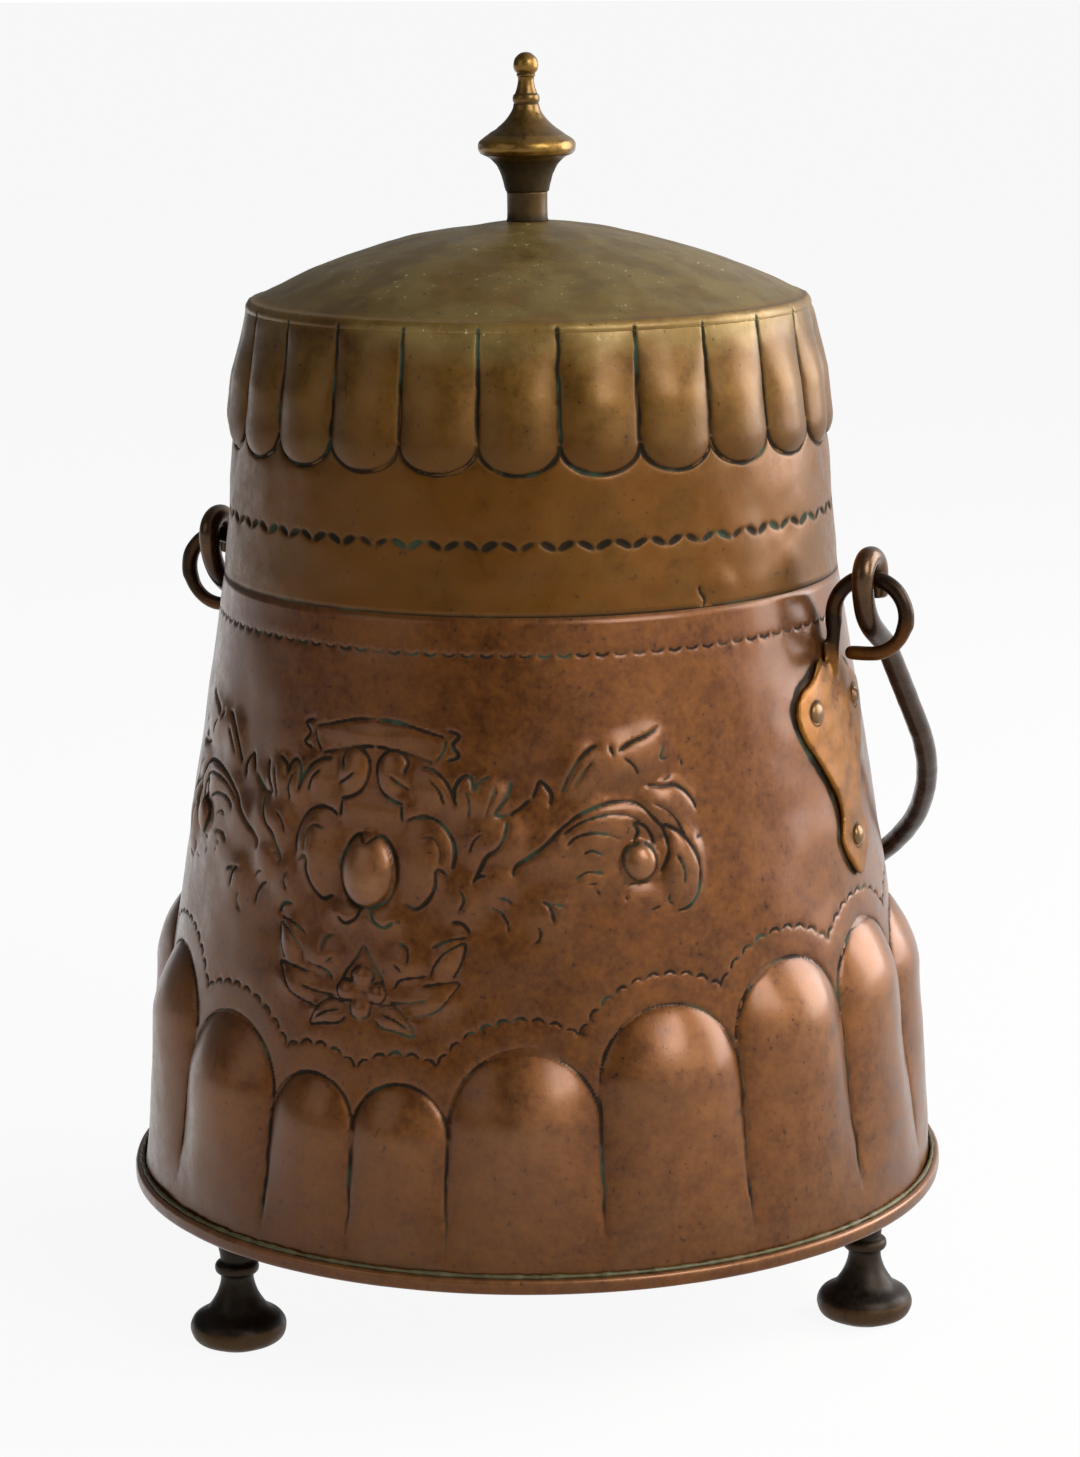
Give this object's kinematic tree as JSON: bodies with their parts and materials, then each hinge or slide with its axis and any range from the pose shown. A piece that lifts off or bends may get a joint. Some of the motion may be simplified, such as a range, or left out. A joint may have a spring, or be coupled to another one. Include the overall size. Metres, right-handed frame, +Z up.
{
  "type": "charcoal extinguisher",
  "caption": "Tapered copper charcoal extinguisher on turned feet, with gadroons round its foot, a slip-over brass lid with a turned finial, and a hooked bail handle in riveted side brackets",
  "frame": {"origin": "On the pot's axis, at the floor under the feet", "axes": "+Z up, -Y towards the decorated front, +X to the right seen from the front, through the two brackets"},
  "size_m": [0.332, 0.332, 0.4999],
  "materials": {
    "copper": "aged copper with brown patina, hand planished",
    "lid_brass": "aged brass with olive-brown patina",
    "bracket_brass": "aged brass, worn",
    "dark_brass": "aged brass, dark",
    "bronze": "turned bronze, blackened",
    "solder": "soft solder with green corrosion",
    "iron": "black iron wire"
  },
  "bodies": {
    "pot": {"body_shell": "copper", "neck_wire": "iron", "base_plate": "copper", "base_solder_bead": "solder", "foot_front_left": "bronze", "foot_right": "bronze", "foot_back_left": "bronze", "foot_washers": "copper", "bracket_right": "bracket_brass", "bracket_left": "bracket_brass", "bracket_rivets_right": "copper", "bracket_rivets_left": "copper", "rivet_roves_right": "copper", "rivet_roves_left": "copper"},
    "lid": {"lid_skirt": "lid_brass", "lid_crown": "lid_brass", "finial_knob": "lid_brass", "finial_ferrule": "lid_brass", "finial_washer": "lid_brass"},
    "bail": {"bail": "dark_brass"}
  },
  "joints": [
    {"name": "bail_swing", "type": "hinge", "parent": "pot", "child": "bail", "pos_m": [0, 0, 0.3012], "axis": [1, 0, 0], "range_deg": [0, 275.3]},
    {"name": "lid_lift", "type": "slide", "parent": "pot", "child": "lid", "axis": [0, 0, 1], "range_m": [0, 0.08]}
  ]
}
